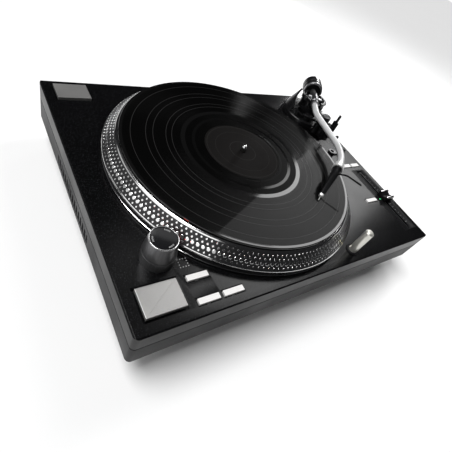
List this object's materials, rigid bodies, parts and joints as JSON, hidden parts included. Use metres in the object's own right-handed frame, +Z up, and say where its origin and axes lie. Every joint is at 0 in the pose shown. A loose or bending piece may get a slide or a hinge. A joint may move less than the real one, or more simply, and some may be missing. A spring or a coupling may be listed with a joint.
{
  "type": "turntable record player",
  "caption": "Direct-drive record player with a strobe-dot platter, a record on a slipmat, an S-shaped tonearm, a pitch fader and a pop-up target light.",
  "frame": {"origin": "centre of the deck outline on the surface the feet stand on", "axes": "+Z up, +X to the right of the person playing it, -Y is the front face; the deck is level"},
  "size_m": [0.45, 0.35, 0.1452],
  "materials": {
    "gloss_black": "gloss black with a fine metallic speckle",
    "satin_grey": "satin dark grey moulding",
    "steel": "bright turned steel",
    "rubber_black": "matt black rubber",
    "cast_metal": "cast aluminium",
    "copper": "enamelled copper wire on laminated cores",
    "magnet_grey": "dark grey magnet",
    "platter_alloy": "dark cast aluminium with polished dots and rims",
    "felt_black": "black felt",
    "vinyl": "black vinyl with fine grooves",
    "label_paper": "dark printed paper",
    "board_green": "green circuit board",
    "winding": "wound copper in varnished tape",
    "gilt": "gilt contacts",
    "plain_black": "satin black plastic",
    "track_metal": "plain metal housing",
    "fader_black": "black cap with bright ridges",
    "button_silver": "brushed silver face",
    "button_white": "white translucent plastic",
    "red_lens": "clear red lens",
    "painted_black": "satin black painted metal",
    "silver_tube": "bright anodised tube",
    "hub_metal": "dark satin metal",
    "arm_metal": "satin silver tube",
    "collar_silver": "bright knurled ring",
    "pickup_black": "gloss black body with a bright nose",
    "stylus_white": "white plastic carrier"
  },
  "bodies": {
    "base": {"top_plate": "gloss_black", "plinth": "satin_grey", "bottom_cover": "satin_grey", "foot_studs": "steel", "case_screws": "steel", "motor_base": "cast_metal", "motor_coils": "copper", "main_board": "board_green", "power_transformer": "winding", "switch_boards": "board_green", "rear_panel": "satin_grey", "rear_terminals": "gilt", "mains_inlet": "plain_black", "pitch_panel": "plain_black", "pitch_track": "track_metal", "tower_base": "plain_black", "strobe_lamp": "red_lens", "target_sleeve": "plain_black", "pickup_dock": "plain_black", "arm_base": "plain_black"},
    "platter": {"platter": "platter_alloy", "rotor_magnet": "magnet_grey", "spindle": "steel"},
    "slipmat": {"slipmat": "felt_black"},
    "record": {"record": "vinyl", "record_label": "label_paper"},
    "foot_front_left": {"foot_front_left": "rubber_black"},
    "foot_front_right": {"foot_front_right": "rubber_black"},
    "foot_rear_left": {"foot_rear_left": "rubber_black"},
    "foot_rear_right": {"foot_rear_right": "rubber_black"},
    "fader": {"pitch_stem": "steel", "pitch_cap": "fader_black"},
    "start_front": {"button_start_front": "button_silver"},
    "start_rear": {"button_start_rear": "button_silver"},
    "select_33": {"button_33": "button_white"},
    "select_45": {"button_45": "button_white"},
    "reverse": {"button_reverse": "button_white"},
    "reset": {"button_reset": "button_white"},
    "range_a": {"button_range_a": "button_white"},
    "range_b": {"button_range_b": "button_white"},
    "power": {"power_knob": "painted_black"},
    "target_light": {"target_light": "silver_tube"},
    "height_ring": {"height_ring": "plain_black"},
    "platform": {"arm_platform": "painted_black", "arm_rest": "painted_black"},
    "clip": {"rest_clip": "plain_black"},
    "lock": {"lock_lever": "plain_black"},
    "anti_skate": {"anti_skate_dial": "plain_black"},
    "cue_bar": {"cue_lift": "plain_black"},
    "cue_lever": {"cue_lever": "plain_black"},
    "gimbal": {"gimbal_yoke": "painted_black"},
    "arm": {"arm_hub": "hub_metal", "arm_tube": "arm_metal", "rear_shaft": "hub_metal", "pickup_body": "pickup_black", "stylus_holder": "stylus_white", "finger_lift": "plain_black"},
    "dial": {"force_dial": "plain_black"},
    "counterweight": {"counterweight": "painted_black"},
    "collar": {"locking_collar": "collar_silver"}
  },
  "joints": [
    {"name": "platter_spin", "type": "hinge", "parent": "base", "child": "platter", "pos_m": [-0.029, -0.001, 0.09], "axis": [0, 0, 1], "continuous": true},
    {"name": "slipmat_slip", "type": "hinge", "parent": "platter", "child": "slipmat", "pos_m": [-0.029, -0.001, 0.104], "axis": [0, 0, 1], "continuous": true},
    {"name": "record_turn", "type": "hinge", "parent": "platter", "child": "record", "pos_m": [-0.029, -0.001, 0.1065], "axis": [0, 0, 1], "continuous": true},
    {"name": "foot_turn_front_left", "type": "hinge", "parent": "base", "child": "foot_front_left", "pos_m": [-0.183, -0.133, 0.02], "axis": [0, 0, 1], "range_deg": [-360, 360]},
    {"name": "foot_turn_rear_left", "type": "hinge", "parent": "base", "child": "foot_rear_left", "pos_m": [-0.183, 0.133, 0.02], "axis": [0, 0, 1], "range_deg": [-360, 360]},
    {"name": "foot_turn_front_right", "type": "hinge", "parent": "base", "child": "foot_front_right", "pos_m": [0.183, -0.133, 0.02], "axis": [0, 0, 1], "range_deg": [-360, 360]},
    {"name": "foot_turn_rear_right", "type": "hinge", "parent": "base", "child": "foot_rear_right", "pos_m": [0.183, 0.133, 0.02], "axis": [0, 0, 1], "range_deg": [-360, 360]},
    {"name": "pitch_fader", "type": "slide", "parent": "base", "child": "fader", "axis": [0, 1, 0], "range_m": [-0.048, 0.048]},
    {"name": "press_start_front", "type": "slide", "parent": "base", "child": "start_front", "axis": [0, 0, -1], "range_m": [0, 0.0015], "stiffness_N_per_m": 150, "springref_m": -0.003},
    {"name": "press_start_rear", "type": "slide", "parent": "base", "child": "start_rear", "axis": [0, 0, -1], "range_m": [0, 0.0015], "stiffness_N_per_m": 150, "springref_m": -0.003},
    {"name": "press_33", "type": "slide", "parent": "base", "child": "select_33", "axis": [0, 0, -1], "range_m": [0, 0.0012], "stiffness_N_per_m": 60, "springref_m": -0.003},
    {"name": "press_45", "type": "slide", "parent": "base", "child": "select_45", "axis": [0, 0, -1], "range_m": [0, 0.0012], "stiffness_N_per_m": 60, "springref_m": -0.003},
    {"name": "press_reverse", "type": "slide", "parent": "base", "child": "reverse", "axis": [0, 0, -1], "range_m": [0, 0.0012], "stiffness_N_per_m": 60, "springref_m": -0.003},
    {"name": "press_reset", "type": "slide", "parent": "base", "child": "reset", "axis": [0, 0, -1], "range_m": [0, 0.0012], "stiffness_N_per_m": 60, "springref_m": -0.003},
    {"name": "press_range_a", "type": "slide", "parent": "base", "child": "range_a", "axis": [0, 0, -1], "range_m": [0, 0.0012], "stiffness_N_per_m": 60, "springref_m": -0.003},
    {"name": "press_range_b", "type": "slide", "parent": "base", "child": "range_b", "axis": [0, 0, -1], "range_m": [0, 0.0012], "stiffness_N_per_m": 60, "springref_m": -0.003},
    {"name": "power_turn", "type": "hinge", "parent": "base", "child": "power", "pos_m": [-0.18, -0.107, 0.1], "axis": [0, 0, 1], "range_deg": [0, 40]},
    {"name": "light_press", "type": "slide", "parent": "base", "child": "target_light", "axis": [0, 0, -1], "range_m": [0, 0.027], "stiffness_N_per_m": 40, "springref_m": -0.005},
    {"name": "platform_lift", "type": "slide", "parent": "base", "child": "platform", "axis": [0, 0, 1], "range_m": [0, 0.006]},
    {"name": "height_ring_turn", "type": "hinge", "parent": "base", "child": "height_ring", "pos_m": [0.16463, 0.09012, 0.09], "axis": [0, 0, 1], "range_deg": [0, 216]},
    {"name": "clip_close", "type": "hinge", "parent": "platform", "child": "clip", "pos_m": [0.15751, 0.02505, 0.1305], "axis": [0.225, 0.9744, 0], "range_deg": [-45, 0]},
    {"name": "lock_turn", "type": "hinge", "parent": "platform", "child": "lock", "pos_m": [0.14516, 0.06842, 0.11], "axis": [0, 0, 1], "range_deg": [0, 40]},
    {"name": "anti_skate_turn", "type": "hinge", "parent": "platform", "child": "anti_skate", "pos_m": [0.16843, 0.05542, 0.118], "axis": [0, 0, 1], "range_deg": [0, 270]},
    {"name": "cue_raise", "type": "slide", "parent": "platform", "child": "cue_bar", "axis": [0, 0, 1], "range_m": [0, 0.003]},
    {"name": "cue_lever_turn", "type": "hinge", "parent": "platform", "child": "cue_lever", "pos_m": [0.16643, 0.03412, 0.117], "axis": [-1, 0, 0], "range_deg": [0, 40]},
    {"name": "tonearm_swing", "type": "hinge", "parent": "platform", "child": "gimbal", "pos_m": [0.16463, 0.09012, 0.129], "axis": [0, 0, 1], "range_deg": [-16, 16]},
    {"name": "tonearm_lift", "type": "hinge", "parent": "gimbal", "child": "arm", "pos_m": [0.16463, 0.09012, 0.129], "axis": [-0.809, 0.5878, 0], "range_deg": [0, 8]},
    {"name": "counterweight_travel", "type": "slide", "parent": "arm", "child": "dial", "axis": [-0.5878, -0.809, 0], "range_m": [-0.005, 0.005]},
    {"name": "counterweight_turn", "type": "hinge", "parent": "dial", "child": "counterweight", "pos_m": [0.16463, 0.09012, 0.129], "axis": [-0.5878, -0.809, 0], "range_deg": [-900, 900]},
    {"name": "collar_turn", "type": "hinge", "parent": "arm", "child": "collar", "pos_m": [0.07883, -0.06509, 0.129], "axis": [-0.848, -0.5299, 0], "range_deg": [0, 60]}
  ],
  "couplings": [
    {"joint": "height_ring_turn", "follows": "platform_lift", "rad_per_m": 628.32},
    {"joint": "cue_lever_turn", "follows": "cue_raise", "rad_per_m": 232.71},
    {"joint": "counterweight_turn", "follows": "counterweight_travel", "rad_per_m": 3141.6}
  ]
}
